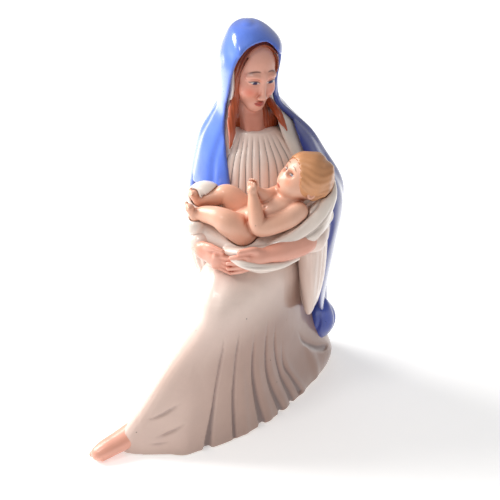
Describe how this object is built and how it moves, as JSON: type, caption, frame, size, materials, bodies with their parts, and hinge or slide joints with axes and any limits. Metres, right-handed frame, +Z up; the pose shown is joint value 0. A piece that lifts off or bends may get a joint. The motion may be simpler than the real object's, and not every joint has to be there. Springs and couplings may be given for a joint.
{
  "type": "madonna statue",
  "caption": "Glazed ceramic figure of a veiled seated mother holding a child across her lap, hollow and open underneath, standing on its foot rim; the child lifts out.",
  "frame": {"origin": "on the floor, under the middle of the whole figure's bounding box", "axes": "+Z up, -Y the way the figure faces, +X towards the child's head (the viewer's right)"},
  "size_m": [0.1484, 0.148, 0.232],
  "materials": {
    "mantle_glaze": "glossy periwinkle to navy glaze",
    "lining_glaze": "glossy ivory glaze",
    "gown_glaze": "glossy ivory glaze, mauve-grey in the folds",
    "cloth_glaze": "glossy white glaze, grey in the folds",
    "flesh_glaze": "satin flesh glaze, airbrushed",
    "hair_glaze": "satin copper-brown glaze",
    "child_glaze": "satin flesh glaze",
    "child_hair_glaze": "satin golden-tan glaze"
  },
  "bodies": {
    "statue": {"mantle": "mantle_glaze", "mantle_tail": "mantle_glaze", "veil_lining": "lining_glaze", "skirt": "gown_glaze", "bodice": "gown_glaze", "left_sleeve": "gown_glaze", "right_sleeve": "gown_glaze", "swaddling_cloth": "cloth_glaze", "head_and_neck": "flesh_glaze", "left_forearm_and_hand": "flesh_glaze", "right_hand": "flesh_glaze", "bare_foot": "flesh_glaze", "hair": "hair_glaze"},
    "child": {"child_body": "child_glaze", "child_head": "child_glaze", "child_near_arm": "child_glaze", "child_far_arm": "child_glaze", "child_near_leg": "child_glaze", "child_far_leg": "child_glaze", "child_hair": "child_hair_glaze"}
  },
  "joints": [
    {"name": "child_lift", "type": "slide", "parent": "statue", "child": "child", "axis": [0, -0.6, 0.8], "range_m": [0, 0.06]}
  ]
}
